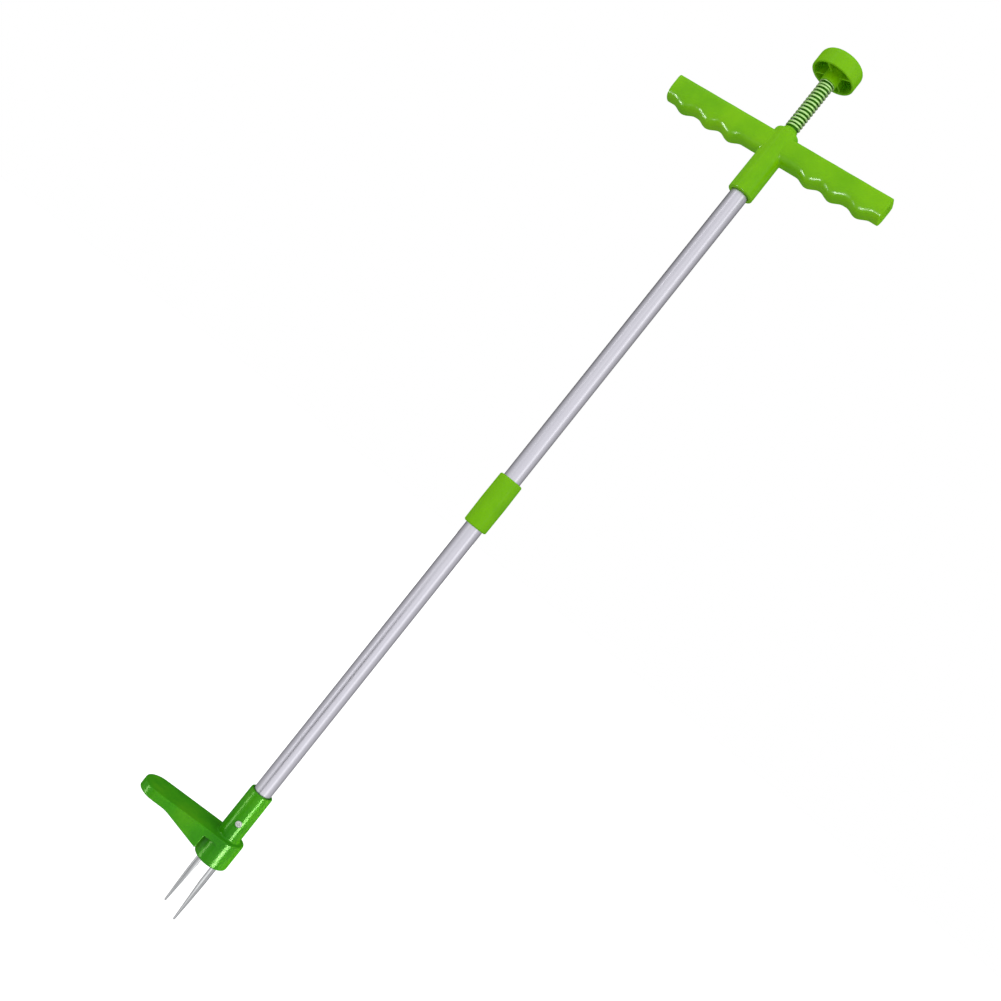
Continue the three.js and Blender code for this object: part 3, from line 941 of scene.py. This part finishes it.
def light_highlights(foot, grip, lower_tube):
    """Strips for the streaks down the glossy foot and the tube, and spots for the grip."""
    for name, azimuth, width, power in STREAKS:
        strip = area_light(name, azimuth, height=-0.5, distance=1.6, size=width, power=power,
                           aim=0.1, tall=1.2)
        strip.data.color = (0.9, 1.0, 0.6)
        shine_on(strip, foot)
    kicker = area_light("kicker", 85, height=0.1, distance=1.2, size=0.8, power=22, aim=0.1)
    kicker.data.color = (1.0, 0.6, 0.15)
    kicker.visible_glossy = False
    shine_on(kicker, foot, sheen_only=False)
    for azimuth in GLINT_AZIMUTHS:
        spot = area_light(f"glint_{-azimuth}", azimuth, height=0.52, distance=0.62, size=0.22,
                          power=6, aim=0.88, tall=0.1)
        shine_on(spot, grip)
    strip = area_light("tube_strip", -62, height=-0.1, distance=1.6, size=0.2, power=0.8,
                       aim=0.1, tall=0.8)
    shine_on(strip, lower_tube)
    dark_card()


def dark_card():
    """A black card low in front: it draws the dark line down the lower tube."""
    corners = [(-CARD_HALF, 0, CARD_LOW), (CARD_HALF, 0, CARD_LOW),
               (CARD_HALF, 0, CARD_HIGH), (-CARD_HALF, 0, CARD_HIGH)]
    mesh = bpy.data.meshes.new("card")
    mesh.from_pydata(corners, [], [(0, 1, 2, 3)])
    card = bpy.data.objects.new("card", mesh)
    bpy.context.collection.objects.link(card)
    card.location = around_shaft(CARD_AZIMUTH, CARD_DISTANCE, 0)
    card.rotation_euler = (0, 0, CARD_AZIMUTH)
    n = Nodes("card")
    black = n.ramp(n.noise(20), [(0.3, (0.01, 0.01, 0.012)), (0.7, (0.02, 0.02, 0.02))])
    n.set(Base_Color=black, Roughness=0.9, Specular_IOR_Level=0.0)
    mesh.materials.append(n.material)
    card.visible_camera = False
    card.visible_diffuse = False
    card.visible_shadow = False


# ---- assembly ----


def build_handle(looks):
    shell = finish_piece(handle_shell(), looks["lime"], "frame", "handle_body")
    for name, side in (("right", 1), ("left", -1)):
        plug = end_plug(f"handle_cap_{name}", side)
        finish_piece(plug, looks["lime"], "frame", f"handle_end_plug_{name}")
    bush = ring_piece("bush", "hub_bush", BUSH_R, GUIDE_BORE, 0.7)
    finish_piece(bush, looks["lime"], "frame", "hub_bush")
    rear = cross_screw("rear_screw", HUB_R + 0.1, node_middle("handle_screw"), math.pi / 2)
    finish_piece(rear, looks["steel"], "frame", "handle_screw")
    return shell


def build_shaft(looks):
    upper = tube("tube_upper", "upper_tube")
    finish_piece(upper, looks["aluminium"], "frame", "upper_tube")
    lower = tube("tube_lower", "lower_tube")
    finish_piece(lower, looks["aluminium"], "frame", "lower_tube")
    finish_piece(coupler(), looks["lime"], "frame", "middle_coupler")
    for node in ("lower_joint_insert", "upper_joint_insert", "foot_bush"):
        paint(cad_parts[node], looks["nylon"])
    return lower


def build_foot(looks):
    shell = finish_piece(foot_shell(), looks["head"], "frame", "foot_head")
    front = cross_screw("front_screw", SOCKET_R + 0.1, node_middle("foot_screw"), -math.pi / 2)
    finish_piece(front, looks["screw"], "frame", "foot_screw")
    for side, turn in (("near", 0), ("far", math.pi)):
        blade = tine(f"prong_{side}", turn)
        finish_piece(blade, looks["tine"], "frame", f"tine_{side}")
        paint(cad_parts[f"tine_screw_{side}"], looks["steel"])
    return shell


def build_plunger(looks):
    finish_piece(knob_shell(), looks["lime"], "plunger", "push_knob")
    spring = finish_piece(coil_spring(), looks["spring"], "frame", "return_spring")
    guide = ring_piece("guide", "spring_guide", SLEEVE_R, ROD_BORE, 0.4)
    finish_piece(guide, looks["guide"], "plunger", "spring_guide")
    washer = ring_piece("washer", "spring_washer", WASHER_R, ROD_BORE)
    finish_piece(washer, looks["spring"], "plunger", "spring_washer")
    insert = ring_piece("insert", "knob_insert", INSERT_R, ROD_BORE)
    finish_piece(insert, looks["brass"], "plunger", "knob_insert")
    finish_piece(upper_rod(), looks["rod"], "plunger", "push_rod_upper")
    finish_piece(lower_rod(), looks["rod"], "plunger", "push_rod_lower")
    clip = ring_piece("clip", "retaining_clip", CLIP_R, ROD_BORE)
    finish_piece(clip, looks["steel"], "plunger", "retaining_clip")
    finish_piece(ejector_disc(), looks["steel"], "plunger", "ejector_plate")
    nut = hex_nut("plate_nut", "ejector_nut", flats=7, hole=THREAD_BORE)
    finish_piece(nut, looks["steel"], "plunger", "ejector_nut", smooth=False)
    joiner = hex_nut("joiner", "rod_joiner", flats=10, hole=ROD_BORE)
    finish_piece(joiner, looks["steel"], "plunger", "rod_joiner", smooth=False)
    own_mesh(spring)


make_camera()
light_scene()
LOOKS = make_materials()
HANDLE = build_handle(LOOKS)
LOWER_TUBE = build_shaft(LOOKS)
FOOT = build_foot(LOOKS)
build_plunger(LOOKS)
light_highlights(FOOT, HANDLE, LOWER_TUBE)
